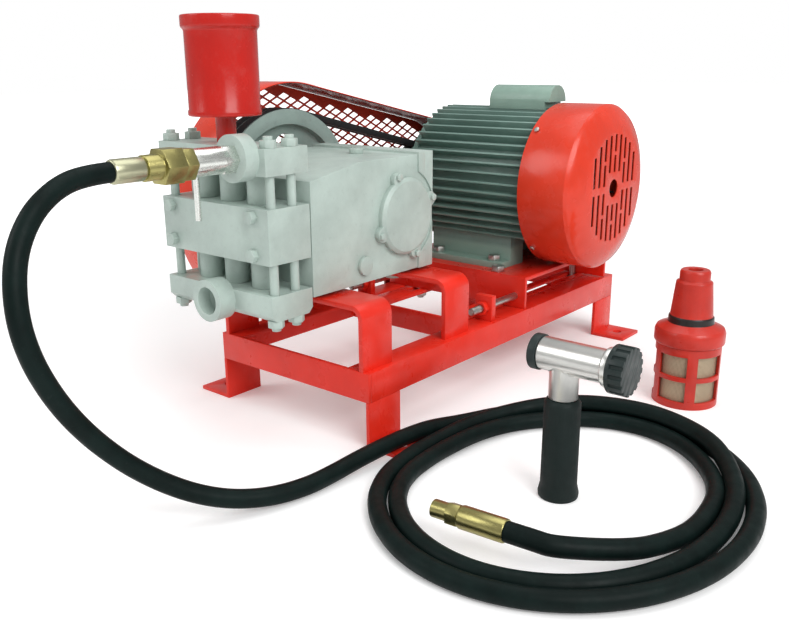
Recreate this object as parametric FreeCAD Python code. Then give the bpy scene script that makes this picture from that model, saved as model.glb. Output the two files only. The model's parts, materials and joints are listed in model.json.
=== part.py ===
import FreeCAD, Part
import os
from math import acos, asin, atan2, cos, degrees, pi, radians, sin, sqrt, tan

# Portable high-pressure pump set: triplex plunger pump, belt drive, electric
# motor and hose on a welded angle-iron frame, with a spray gun and a suction
# strainer standing beside it. Millimetres, +Z up, floor at Z = 0.
# X runs along the shafts (fan side positive), Y from pump to motor.
# The origin is the middle of the four foot bolt holes, on the floor.

V = FreeCAD.Vector
X_AXIS = V(1, 0, 0)
Y_AXIS = V(0, 1, 0)
Z_AXIS = V(0, 0, 1)

# General clearances
run_gap = 0.4          # between pieces that move past each other
fit_gap = 0.05         # radial, running fit on a shaft or pin

# Frame
frame_length = 596.0
frame_width = 250.0
rail_size = 35.0       # leg of the equal angle
rail_wall = 5.0
rail_top = 90.0
leg_width = 55.0
leg_wall = 5.0
foot_length = 50.0
foot_hole_r = 6.5
bar_depth = 30.0       # depth of the inner cross members
bracket_width = 50.0
bracket_wall = 6.0
bracket_rise = 75.0    # top of the pump brackets above the rails
bracket_bend_r = 16.0
bracket_inset = 8.0    # bracket's outer face in from the rail's outer face
front_bracket_y = -273.0
rear_bracket_y = -121.0
slide_bar_width = 38.0
slide_bar_x = 70.0
slide_slot_width = 13.0
slide_bar_front = -55.0

# Pump
pump_mid_x = -31.0
pump_width = 178.0
pump_case_front = -312.0
pump_case_length = 197.0
pump_case_height = 142.0
case_wall = 10.0
case_slope_drop = 14.0
case_slope_length = 80.0
rear_cover_wall = 18.0
filler_x = -12.0
filler_y = -161.0
filler_r = 6.0
drain_y = -228.0
drain_z = 191.0
drain_r = 7.0
crank_y = -154.0
crank_z = 240.0
crank_throw = 6.0
journal_r = 15.0
crankpin_r = 9.0
crank_web_r = 22.0
cylinder_pitch = 45.0
rod_length = 95.0
rod_width = 14.0
small_end_r = 8.0
bearing_outer_r = 31.0
bearing_width = 14.0
bearing_cover_r = 47.0
bearing_cover_wall = 9.0
plunger_r = 10.0
plunger_length = 70.0
crosshead_r = 19.0
crosshead_bore_r = 16.5
crosshead_length = 56.0
block_depth = 60.0
block_gap = 2.0        # joint between the crankcase and the cylinder block
block_height = 59.0
block_low = 216.0
upper_gap = 34.0       # height of the gap below the discharge manifold
lower_gap = 34.0       # height of the gap above the suction manifold
manifold_height = 28.0
gallery_r = 9.0
suction_port_r = 15.5
port_depth = 17.0
hold_bolt_r = 5.0
hold_bolt_spread = 100.0
cage_r = 14.0
cage_bore_r = 11.0
seat_bore_r = 6.0
seat_wall = 5.0
valve_disc_r = 10.0
valve_disc_wall = 3.0
valve_lift = 4.0
stud_r = 5.0
stud_inset_x = 8.0
stud_inset_y = 12.0

# Belt drive
pump_pulley_r = 120.0  # pitch radius
motor_pulley_r = 40.0  # pitch radius
belt_pitch = 16.0
belt_count = 2
belt_top_half = 6.5
belt_root_half = 4.0
belt_above = 3.0
belt_below = 6.0
drive_mid_x = -160.0
pulley_width = 36.0
guard_near_x = -132.0
guard_far_x = -188.0
guard_wall = 2.0
guard_pump_r = 157.0
guard_motor_r = 84.0
mesh_long = 26.0
mesh_high = 13.0
mesh_strand = 2.6

# Motor
motor_y = 152.0
motor_z = 250.0
motor_face_x = 186.0
motor_base_front = 32.0
motor_base_rear = 276.0
motor_base_wall = 5.0
motor_base_top = 135.0
motor_slide = 20.0     # travel of the base towards the pump
base_bolt_inset = 11.5
fan_cover_r = 114.0
fan_cover_length = 86.0
fan_cover_wall = 1.5
fan_cover_dome = 16.0
slot_reach = 74.0        # radius of the round field of slots
slot_pitch = 14.5
slot_columns = 4         # each side of the middle one
slot_width = 6.2
slot_hub_r = 12.5
barrel_r = 92.0
fin_r = 107.0
fin_wall = 2.6
fin_count = 48
cover_screw_angles = (45, 135, 225, 315)
barrel_low_x = -96.0
shaft_r = 14.0
rotor_r = 46.0
stator_outer_r = 80.0
foot_half_width = 98.0
foot_low_x = -72.0
foot_high_x = 68.0
box_low_x = -8.0
box_high_x = 92.0
box_half_width = 23.0

# Discharge side
boss_r = 24.5
boss_x = 25.0
boss_depth = 17.0
valve_r = 14.0
valve_length = 51.0
lever_r = 3.2
hose_r = 9.5
ferrule_r = 11.5
ferrule_length = 34.0

# Air chamber
chamber_x = -36.0
chamber_r = 38.5
chamber_collar_r = 41.5
chamber_low = 366.0
chamber_top = 469.0
chamber_wall = 4.0
chamber_neck_r = 11.0

# Spray gun and strainer
gun_x = 342.0
gun_y = -257.0
grip_r = 18.5
grip_height = 105.0
gun_barrel_z = 147.0
gun_barrel_r = 16.5
gun_stem_r = 14.5
gun_low_x = -24.0      # nozzle end, from the grip's axis
gun_high_x = 51.0
gun_bore_r = 7.0
knob_r = 23.5
knob_length = 17.0
strainer_x = 341.0
strainer_y = 71.0
strainer_r = 40.0
strainer_height = 172.0
window_count = 5
window_width = 36.0
window_height = 27.0

# Worked-out places
half_l = frame_length / 2
half_w = frame_width / 2
rail_low = rail_top - rail_size
bracket_top = rail_top + bracket_rise
case_low = bracket_top + 5.0
case_top = case_low + pump_case_height
case_rear = pump_case_front + pump_case_length
pump_low_x = pump_mid_x - pump_width / 2
pump_high_x = pump_mid_x + pump_width / 2
block_rear = pump_case_front - block_gap
block_front = block_rear - block_depth
block_mid_y = (block_rear + block_front) / 2
block_top = block_low + block_height
discharge_low = block_top + upper_gap
discharge_top = discharge_low + manifold_height
suction_top = block_low - lower_gap
suction_low = suction_top - manifold_height
boss_z = discharge_low + 18.0
cylinder_x = [pump_mid_x + cylinder_pitch * k for k in (-1, 0, 1)]
crank_angles = [radians(a) for a in (0, 120, 240)]
belt_x = [drive_mid_x + belt_pitch * (k - (belt_count - 1) / 2) for k in range(belt_count)]

os.makedirs("parts", exist_ok=True)
nodes = {}


def box(x0, x1, y0, y1, z0, z1):
    return Part.makeBox(x1 - x0, y1 - y0, z1 - z0, V(x0, y0, z0))


def rod(radius, start, axis, length):
    return Part.makeCylinder(radius, length, V(*start), axis)


def ring(outer, inner, start, axis, length):
    return rod(outer, start, axis, length).cut(rod(inner, start, axis, length))


def hexagon(across, start, axis, length):
    """Hexagonal prism, across flats, along a row axis."""
    corner = across / sqrt(3)
    frame = FreeCAD.Placement(V(*start), FreeCAD.Rotation(Z_AXIS, axis))
    points = [V(corner * cos(pi / 3 * k), corner * sin(pi / 3 * k), 0) for k in range(7)]
    prism = Part.Face(Part.makePolygon(points)).extrude(V(0, 0, length))
    prism.Placement = frame
    return prism


def bolt(across, head, shank_r, shank, start, axis):
    """Hexagon head that starts at a seat, with its shank the other way."""
    head_solid = hexagon(across, start, axis, head)
    back = V(*start) - axis * shank
    return head_solid.fuse(Part.makeCylinder(shank_r, shank + head / 2, back, axis))


def turned(profile, start, axis):
    """Solid of revolution: (radius, along) points about an axis."""
    points = [V(r, 0, z) for r, z in profile]
    face = Part.Face(Part.makePolygon(points + [points[0]]))
    solid = face.revolve(V(0, 0, 0), Z_AXIS, 360)
    solid.Placement = FreeCAD.Placement(V(*start), FreeCAD.Rotation(Z_AXIS, axis))
    return solid


def cut_all(solid, tools):
    for tool in tools:
        solid = solid.cut(tool)
    return solid


def fuse_all(solids):
    result = solids[0]
    for other in solids[1:]:
        result = result.fuse(other)
    return result.removeSplitter()


def save(node, shape):
    if isinstance(shape, list):
        shape = Part.makeCompound(shape)
    nodes[node] = shape
    shape.exportStep("parts/" + node + ".step")


# Frame of welded angle iron
def make_frame():
    rails = []
    for side in (-1, 1):
        outer = side * half_w
        wall = box(*sorted((outer, outer - side * rail_wall)), -half_l + rail_wall, half_l,
                   rail_low, rail_top)
        flange = box(*sorted((outer, outer - side * rail_size)), -half_l + rail_wall, half_l,
                     rail_top - rail_wall, rail_top)
        rails.append(fuse_all([wall, flange]))
    save("side_rails", rails)

    inner_half = half_w - rail_wall
    bar_top = rail_top - rail_wall
    front = box(-half_w, half_w, -half_l, -half_l + rail_wall, rail_low, rail_top)
    cross = [front]
    for y in (slide_bar_front, half_l - rail_wall):
        cross.append(box(-inner_half, inner_half, y, y + rail_wall, bar_top - bar_depth, bar_top))
    bars = []
    slot_low = motor_base_front + base_bolt_inset - motor_slide - slide_slot_width / 2
    slot_high = motor_base_rear - base_bolt_inset + slide_slot_width / 2
    for side in (-1, 1):
        mid = side * slide_bar_x
        bar = box(mid - slide_bar_width / 2, mid + slide_bar_width / 2,
                  slide_bar_front, half_l, bar_top, rail_top)
        slot = box(mid - slide_slot_width / 2, mid + slide_slot_width / 2,
                   slot_low, slot_high, bar_top - 1, rail_top + 1)
        bars.append(bar.cut(slot))
    save("crossbars", cross)
    save("slide_bars", bars)

    legs = []
    for side in (-1, 1):
        for end in (-1, 1):
            y = sorted((end * half_l, end * (half_l - leg_width)))
            outer = side * half_w
            post = box(*sorted((outer, outer - side * leg_wall)), *y, 0, rail_low)
            foot = box(*sorted((outer - side * leg_wall, outer + side * foot_length)), *y,
                       0, leg_wall)
            hole = rod(foot_hole_r, (outer + side * foot_length * 0.54,
                                     end * (half_l - leg_width / 2), -1), Z_AXIS, leg_wall + 2)
            legs.append(fuse_all([post, foot]).cut(hole))
    save("legs", legs)

    brackets = []
    for y in (front_bracket_y, rear_bracket_y):
        half = half_w - bracket_inset
        low = y - bracket_width / 2
        outer = box(-half, half, low, low + bracket_width, rail_top, bracket_top)
        edges = [e for e in outer.Edges if bend_edge(e, half, bracket_top)]
        outer = outer.makeFillet(bracket_bend_r, edges)
        half -= bracket_wall
        inner = box(-half, half, low - 1, low + bracket_width + 1, rail_top - 1,
                    bracket_top - bracket_wall)
        edges = [e for e in inner.Edges if bend_edge(e, half, bracket_top - bracket_wall)]
        inner = inner.makeFillet(bracket_bend_r - bracket_wall, edges)
        strap = outer.cut(inner)
        for x, bolt_y in hold_bolt_places():
            strap = strap.cut(rod(hold_bolt_r + 0.5, (x, bolt_y, bracket_top - 20), Z_AXIS, 30))
        brackets.append(strap)
    save("pump_brackets", brackets)


def hold_bolt_places():
    """Where the bolts under the brackets hold the crankcase feet."""
    return [(pump_mid_x + side * hold_bolt_spread / 2, y) for side in (-1, 1)
            for y in (front_bracket_y, rear_bracket_y - 8)]


def bend_edge(edge, half, top):
    """True for a top edge along Y of an upside-down U."""
    first, last = edge.Vertexes[0].Point, edge.Vertexes[-1].Point
    level = abs(first.z - top) < 0.01 and abs(last.z - top) < 0.01
    return level and abs(abs(first.x) - half) < 0.01 and abs(first.x - last.x) < 0.01


# Pump body
def make_crankcase():
    low, high = pump_low_x, pump_high_x
    front, rear = pump_case_front, case_rear
    slope_y = front + case_slope_length

    def wedge(x0, x1, inset, y0, y1):
        top = case_top - inset
        drop = case_slope_drop
        points = [V(x0, y0, case_low + inset), V(x0, y1, case_low + inset), V(x0, y1, top),
                  V(x0, slope_y, top), V(x0, y0, top - drop), V(x0, y0, case_low + inset)]
        return Part.Face(Part.makePolygon(points)).extrude(V(x1 - x0, 0, 0))

    shell = wedge(low, high, 0, front, rear)
    flange = box(low - 3, high + 3, rear - 12, rear, case_low, case_top + 3)
    hollow = wedge(low + case_wall, high - case_wall, case_wall, front + 12, rear + 1)
    case = shell.fuse(flange).cut(hollow)
    for x in cylinder_x:
        guide = rod(crosshead_r + 2.5, (x, front + 6, crank_z), Y_AXIS, 76)
        case = case.fuse(guide)
    for wall_x, way in ((high, -1), (low, 1)):
        start = wall_x if way < 0 else wall_x
        housing = Part.makeCylinder(bearing_outer_r + 6, 26, V(start, crank_y, crank_z), X_AXIS * way)
        case = case.fuse(housing)
    feet = [box(low + 20, high - 20, y0, y1, bracket_top, case_low + 6)
            for y0, y1 in ((front_bracket_y - 22, front_bracket_y + 22),
                           (rear_bracket_y - bracket_width / 2, rear - 1))]
    case = fuse_all([case] + feet)
    tools = [rod(bearing_outer_r + fit_gap, (low - 4, crank_y, crank_z), X_AXIS, pump_width + 8)]
    for x in cylinder_x:
        tools.append(rod(crosshead_r + fit_gap, (x, front + 14, crank_z), Y_AXIS, 70))
        tools.append(rod(plunger_r + 1.5, (x, front - 1, crank_z), Y_AXIS, 20))
    tools.append(rod(filler_r + fit_gap, (filler_x, filler_y, case_top - 20), Z_AXIS, 30))
    tools.append(rod(drain_r + fit_gap, (high - 20, drain_y, drain_z), X_AXIS, 30))
    tools += [rod(hold_bolt_r + 0.5, (x, y, bracket_top - 1), Z_AXIS, 16)
              for x, y in hold_bolt_places()]
    recesses = [rod(bearing_cover_r + 11, (x, crank_y, crank_z), X_AXIS, 4)
                for x in (high, low - 4)]
    save("crankcase", cut_all(case, tools + recesses))

    cover = box(low - 3, high + 3, rear, rear + rear_cover_wall, case_low - 3 + 3, case_top + 3)
    edges = [e for e in cover.Edges if abs(e.BoundBox.YMin - rear - rear_cover_wall) < 0.01
             and abs(e.BoundBox.YMax - rear - rear_cover_wall) < 0.01]
    cover = cover.makeFillet(4, edges)
    save("rear_cover", cut_all(cover, recesses))

    ears = [radians(a) for a in (20, 110, 200, 290)]
    covers = []
    for x, way, bored in ((high, 1, False), (low, -1, True)):
        axis = X_AXIS * way
        centre = (x, crank_y, crank_z)
        disc = turned([(0, 0), (bearing_cover_r, 0), (bearing_cover_r, bearing_cover_wall - 3),
                       (bearing_cover_r - 4, bearing_cover_wall), (0, bearing_cover_wall)],
                      centre, axis)
        for a in ears:
            spot = (x, crank_y + (bearing_cover_r + 1) * cos(a),
                    crank_z + (bearing_cover_r + 1) * sin(a))
            disc = disc.fuse(rod(9, spot, axis, bearing_cover_wall - 2))
        if bored:
            disc = disc.cut(rod(journal_r + 1, (low - 20, crank_y, crank_z), X_AXIS, 40))
        covers.append(disc.removeSplitter())
    save("bearing_covers", covers)

    screws = []
    for x, way in ((high, 1), (low, -1)):
        face = x + way * (bearing_cover_wall - 2)
        for a in ears:
            spot = (face, crank_y + (bearing_cover_r + 5) * cos(a),
                    crank_z + (bearing_cover_r + 5) * sin(a))
            screws.append(hexagon(8, spot, X_AXIS * way, 3.5))
    for x in (low + 12, pump_mid_x, high - 12):
        for z in (case_low + 14, case_top - 10):
            screws.append(hexagon(10, (x, rear + rear_cover_wall, z), Y_AXIS, 5))
    for x, z in ((high - 24, block_top - 9), (high - 24, block_low + 9),
                 (low + 17, block_top - 9), (low + 17, block_low + 11)):
        screws.append(hexagon(13, (x, block_front, z), -Y_AXIS, 7))
    for x, y in hold_bolt_places():
        seat = bracket_top - bracket_wall
        screws.append(bolt(16, 7, hold_bolt_r, 18, (x, y, seat), -Z_AXIS))
    plug = rod(drain_r + 4, (high, drain_y, drain_z), X_AXIS, 5)
    plug = plug.fuse(rod(drain_r, (high - 8, drain_y, drain_z), X_AXIS, 9))
    save("pump_bolts", screws + [plug.removeSplitter()])


def make_filler_cap():
    cap = rod(filler_r + 3, (filler_x, filler_y, case_top), Z_AXIS, 6)
    cap = cap.fuse(rod(filler_r, (filler_x, filler_y, case_top - 8), Z_AXIS, 9))
    save("oil_filler_cap", cap.removeSplitter())


# Crankshaft, rods and plungers
def pin_point(angle):
    """Crankpin centre in the plane of rotation."""
    return crank_y - crank_throw * cos(angle), crank_z + crank_throw * sin(angle)


def make_crank_train():
    web_gap = rod_width + 2
    near_end = cylinder_x[2] + web_gap / 2
    far_end = cylinder_x[0] - web_gap / 2
    pieces = [rod(journal_r, (near_end, crank_y, crank_z), X_AXIS, pump_high_x - 4 - near_end),
              rod(journal_r, (drive_mid_x - pulley_width / 2 - 4, crank_y, crank_z), X_AXIS,
                  far_end - drive_mid_x + pulley_width / 2 + 4)]
    for x0, x1 in ((near_end, near_end + 8), (far_end - 8, far_end),
                   (cylinder_x[0] + web_gap / 2, cylinder_x[1] - web_gap / 2),
                   (cylinder_x[1] + web_gap / 2, cylinder_x[2] - web_gap / 2)):
        pieces.append(rod(crank_web_r, (x0, crank_y, crank_z), X_AXIS, x1 - x0))
    for x, angle in zip(cylinder_x, crank_angles):
        y, z = pin_point(angle)
        pieces.append(rod(crankpin_r, (x - web_gap / 2, y, z), X_AXIS, web_gap))
    save("crankshaft", fuse_all(pieces))

    for k, (x, angle) in enumerate(zip(cylinder_x, crank_angles), start=1):
        y, z = pin_point(angle)
        head_y = y - rod_length
        low_x = x - rod_width / 2
        big = rod(crankpin_r + 6, (low_x, y, z), X_AXIS, rod_width)
        small = rod(small_end_r, (low_x, head_y, z), X_AXIS, rod_width)
        web = box(low_x + 2, low_x + rod_width - 2, head_y, y, z - 5, z + 5)
        piece = fuse_all([big, small, web])
        piece = piece.cut(rod(crankpin_r + fit_gap, (low_x - 1, y, z), X_AXIS, rod_width + 2))
        save("connecting_rod_%d" % k, piece)

        front = head_y - 28
        sleeve = ring(crosshead_r, crosshead_bore_r, (x, front, crank_z), Y_AXIS, crosshead_length)
        end = rod(crosshead_r, (x, front - 6, crank_z), Y_AXIS, 6)
        stem = rod(plunger_r, (x, front - plunger_length, crank_z), Y_AXIS, plunger_length)
        save("plunger_%d" % k, fuse_all([sleeve, end, stem]))

    bearings = []
    for start in (pump_high_x - 22, pump_low_x + 8):
        bearings.append(ring(bearing_outer_r, journal_r + fit_gap, (start, crank_y, crank_z),
                             X_AXIS, bearing_width))
    bearings.append(ring(bearing_outer_r - 4, journal_r + fit_gap, (pump_low_x, crank_y, crank_z),
                         X_AXIS, 7))
    save("crank_bearings", bearings)


# Fluid end
def make_fluid_end():
    low, high = pump_low_x, pump_high_x
    stud_places = [(x, y) for x in (low + stud_inset_x, high - stud_inset_x)
                   for y in (block_front + stud_inset_y, block_rear - stud_inset_y - 6)]
    bore_depth = block_depth - 12
    block = box(low, high, block_front, block_rear, block_low, block_top)
    tools = []
    for x in cylinder_x:
        tools.append(rod(plunger_r + 1, (x, block_front + 12, crank_z), Y_AXIS, bore_depth))
        tools.append(rod(plunger_r + 5, (x, block_rear - 12, crank_z), Y_AXIS, 13))
        tools.append(rod(6, (x, block_mid_y, block_low - 1), Z_AXIS, block_height + 2))
    for x, y in stud_places:
        tools.append(rod(stud_r + 0.5, (x, y, block_low - 1), Z_AXIS, block_height + 2))
    save("cylinder_block", cut_all(block, tools))

    rings = [ring(plunger_r + 4.9, plunger_r + fit_gap, (x, block_rear - 11, crank_z), Y_AXIS, 10.5)
             for x in cylinder_x]
    save("plunger_packing", rings)

    for node, z0, ports_up in (("discharge_manifold", discharge_low, False),
                               ("suction_manifold", suction_low, True)):
        z1 = z0 + manifold_height
        slab = box(low, high, block_front, block_rear, z0, z1)
        if ports_up:
            edges = [e for e in slab.Edges if abs(e.BoundBox.ZMax - z0) < 0.01
                     and abs(e.BoundBox.XMin - e.BoundBox.XMax) > 1]
            slab = slab.makeChamfer(6, edges)
        mid_z = (z0 + z1) / 2
        if ports_up:
            boss_centre = (pump_mid_x + 6, block_front - 21, mid_z + 1.5)
            bore = suction_port_r
            length = 21
            radius = 23.5
        else:
            boss_centre = (boss_x, block_front - boss_depth, boss_z)
            bore = 9.0
            length = boss_depth
            radius = boss_r
        slab = slab.fuse(rod(radius, boss_centre, Y_AXIS, length + 1))
        x, y, z = boss_centre
        port = turned([(0, -1), (bore, -1), (bore, port_depth), (gallery_r, port_depth + bore - gallery_r),
                       (gallery_r, block_mid_y - y), (0, block_mid_y - y)], boss_centre, Y_AXIS)
        tools = [port, rod(gallery_r, (low + 14, block_mid_y, mid_z), X_AXIS, pump_width - 28)]
        for x in cylinder_x:
            start = mid_z if ports_up else z0 - 1
            tools.append(rod(seat_bore_r, (x, block_mid_y, start), Z_AXIS, manifold_height / 2 + 1))
        if not ports_up:
            tools.append(rod(5, (chamber_x, block_mid_y, mid_z), Z_AXIS, manifold_height))
        for x, y in stud_places:
            tools.append(rod(stud_r + 0.5, (x, y, z0 - 1), Z_AXIS, manifold_height + 2))
        save(node, cut_all(slab, tools).removeSplitter())

    cages = []
    for name, base, height in (("suction", suction_top, lower_gap),
                               ("discharge", block_top, upper_gap)):
        springs, discs = [], []
        for x in cylinder_x:
            cage = ring(cage_r, cage_bore_r, (x, block_mid_y, base), Z_AXIS, height)
            seat = ring(cage_r, seat_bore_r, (x, block_mid_y, base), Z_AXIS, seat_wall)
            cages.append(fuse_all([cage, seat]))
            disc_z = base + seat_wall + fit_gap
            disc = rod(valve_disc_r, (x, block_mid_y, disc_z), Z_AXIS, valve_disc_wall)
            discs.append(disc)
            spring_z = disc_z + valve_disc_wall + fit_gap
            springs.append(ring(8, 6.5, (x, block_mid_y, spring_z), Z_AXIS,
                                base + height - spring_z - fit_gap))
        save(name + "_valve_discs", discs)
        save(name + "_springs", springs)
    save("valve_cages", cages)

    studs = []
    for x, y in stud_places:
        studs.append(rod(stud_r, (x, y, suction_low - 12), Z_AXIS,
                         discharge_top - suction_low + 24))
        for seat, way in ((discharge_top, 1), (suction_low, -1)):
            nut = hexagon(16, (x, y, seat), Z_AXIS * way, 8)
            studs.append(nut.cut(rod(stud_r, (x, y, seat - 20), Z_AXIS, 40)))
    save("stay_studs", studs)

    wall = chamber_wall
    height = chamber_top - chamber_low
    outline = [(0, 0), (chamber_r + 1, 0), (chamber_r + 1, 5), (chamber_r, 7),
               (chamber_r, height - 15), (chamber_collar_r, height - 12),
               (chamber_collar_r, height), (0, height)]
    hollow = rod(chamber_r - wall, (chamber_x, block_mid_y, chamber_low + wall), Z_AXIS,
                 height - 2 * wall)
    chamber = turned(outline, (chamber_x, block_mid_y, chamber_low), Z_AXIS)
    neck = rod(chamber_neck_r, (chamber_x, block_mid_y, discharge_top), Z_AXIS,
               chamber_low - discharge_top + 1)
    passage = rod(5, (chamber_x, block_mid_y, discharge_top - 1), Z_AXIS,
                  chamber_low - discharge_top + wall + 2)
    save("air_chamber", cut_all(fuse_all([chamber, neck]), [hollow, passage]))


# Belt drive
def belt_sides(first, r1, second, r2):
    """Tangent points of an open belt on two circles in the YZ plane."""
    span = second - first
    base = atan2(span.z, span.y)
    lean = acos((r1 - r2) / span.Length)
    sides = []
    for way in (1, -1):
        a = base + way * lean
        out = V(0, cos(a), sin(a))
        sides.append((first + out * r1, second + out * r2, a))
    return sides


def loop_wire(first, r1, second, r2):
    (top_a, top_b, angle), (low_a, low_b, _) = belt_sides(first, r1, second, r2)
    line = (second - first).normalize()
    back = first - line * r1
    ahead = second + line * r2
    return Part.Wire([Part.Arc(low_a, back, top_a).toShape(),
                      Part.LineSegment(top_a, top_b).toShape(),
                      Part.Arc(top_b, ahead, low_b).toShape(),
                      Part.LineSegment(low_b, low_a).toShape()])


def grooved_pulley(pitch_r, x0, x1, grooves, bore):
    """Half-section with V grooves, turned about X."""
    top = pitch_r + belt_above - 1
    root = pitch_r - belt_below - 1.5
    slope = (belt_top_half - belt_root_half) / (belt_above + belt_below)
    top_half = belt_root_half + slope * (top - pitch_r + belt_below) + run_gap
    root_half = belt_root_half - slope * 1.5 + run_gap
    outline = [(bore, 0), (top, 0)]
    for x in grooves:
        along = x - x0
        outline += [(top, along - top_half), (root, along - root_half),
                    (root, along + root_half), (top, along + top_half)]
    outline += [(top, x1 - x0), (bore, x1 - x0)]
    return outline


def make_drive():
    pump_centre = V(0, crank_y, crank_z)
    motor_centre = V(0, motor_y, motor_z)
    x0 = drive_mid_x - pulley_width / 2
    x1 = drive_mid_x + pulley_width / 2
    big = turned(grooved_pulley(pump_pulley_r, x0, x1, belt_x, journal_r + 0.02),
                 (x0, crank_y, crank_z), X_AXIS)
    recess_depth = pulley_width / 2 - 6
    tools = []
    for start in (x0 - 1, x1 - recess_depth):
        tools.append(ring(pump_pulley_r - 18, 34, (start, crank_y, crank_z), X_AXIS,
                          recess_depth + 1))
    for k in range(5):
        a = 2 * pi * (k + 0.18) / 5
        spot = (x0, crank_y + 68 * cos(a), crank_z + 68 * sin(a))
        tools.append(rod(21, spot, X_AXIS, pulley_width))
    save("pump_pulley", cut_all(big, tools))

    small = turned(grooved_pulley(motor_pulley_r, x0, x1, belt_x, shaft_r + 0.02),
                   (x0, motor_y, motor_z), X_AXIS)
    save("motor_pulley", small)

    belts = []
    for x in belt_x:
        path = loop_wire(pump_centre + V(x, 0, 0), pump_pulley_r,
                         motor_centre + V(x, 0, 0), motor_pulley_r)
        start = path.OrderedVertexes[0].Point
        out = (start - (pump_centre + V(x, 0, 0))).normalize()
        corners = [start + out * belt_above + X_AXIS * belt_top_half,
                   start + out * belt_above - X_AXIS * belt_top_half,
                   start - out * belt_below - X_AXIS * belt_root_half,
                   start - out * belt_below + X_AXIS * belt_root_half]
        profile = Part.makePolygon(corners + [corners[0]])
        belt = path.makePipeShell([profile], True, False)
        if belt.Volume < 0:
            belt.reverse()
        print("belt valid", belt.isValid(), "volume", round(belt.Volume))
        belts.append(belt)
    save("v_belts", belts)

    def guard_face(inset, x):
        shift = V(x, 0, 0)
        return Part.Face(loop_wire(pump_centre + shift, guard_pump_r - inset,
                                   motor_centre + shift, guard_motor_r - inset))

    depth = guard_near_x - guard_far_x
    band = guard_face(0, guard_far_x).extrude(V(depth, 0, 0))
    band = band.cut(guard_face(guard_wall, guard_far_x).extrude(V(depth, 0, 0)))
    stays = []
    for y in (-200.0, 60.0):
        low = guard_floor(y) + 6
        stays.append(box(guard_near_x - 16, -half_w, y - 12, y + 12, rail_top - 22, rail_top - 18))
        stays.append(box(guard_near_x - 16, guard_near_x - 12, y - 12, y + 12, rail_top - 22, low))
    solid = guard_face(0, guard_far_x).extrude(V(depth, 0, 0))
    stays = [fuse_all(stays[:2]).cut(solid), fuse_all(stays[2:]).cut(solid)]
    save("belt_guard_band", [band] + stays)

    sheet = guard_face(guard_wall + run_gap, guard_far_x)
    holes = mesh_holes(guard_far_x, pump_centre, motor_centre)
    face = Part.Face([sheet.OuterWire] + holes)
    face.validate()
    mesh = face.extrude(V(1.5, 0, 0))
    print("mesh holes", len(holes), "volume", round(mesh.Volume), "valid", mesh.isValid())
    save("belt_guard_mesh", mesh)


def guard_floor(y):
    """Height of the band's underside above a place along Y."""
    pump_centre = V(0, crank_y, crank_z)
    motor_centre = V(0, motor_y, motor_z)
    _, (low_a, low_b, _) = belt_sides(pump_centre, guard_pump_r, motor_centre, guard_motor_r)
    if y < low_a.y:
        return crank_z - sqrt(guard_pump_r ** 2 - (y - crank_y) ** 2)
    return low_a.z + (low_b.z - low_a.z) * (y - low_a.y) / (low_b.y - low_a.y)


def inside_guard(y, z, inset):
    """True where a point lies inside the guard's outline, less an inset."""
    span = motor_y - crank_y
    for k in range(25):
        t = k / 24
        cy = crank_y + span * t
        cz = crank_z + (motor_z - crank_z) * t
        r = guard_pump_r + (guard_motor_r - guard_pump_r) * t - inset
        if (y - cy) ** 2 + (z - cz) ** 2 < r ** 2:
            return True
    return False


def mesh_holes(x, pump_centre, motor_centre):
    """Diamond openings of the expanded metal, as wires turned inwards."""
    half_y = (mesh_long - mesh_strand * 2) / 2
    half_z = (mesh_high - mesh_strand * 1.3) / 2
    holes = []
    rows = int(guard_pump_r * 2 / (mesh_high / 2)) + 2
    columns = int((motor_y - crank_y + guard_pump_r + guard_motor_r) / mesh_long) + 2
    for j in range(-rows // 2, rows // 2 + 1):
        for i in range(columns):
            y = crank_y - guard_pump_r + mesh_long * (i + 0.5 * (j % 2))
            z = crank_z + mesh_high / 2 * j
            tips = [(y - half_y, z), (y, z - half_z), (y + half_y, z), (y, z + half_z)]
            if all(inside_guard(a, b, 8) for a, b in tips):
                points = [V(x, a, b) for a, b in tips]
                holes.append(Part.makePolygon(points + [points[0]]))
    return holes


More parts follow.
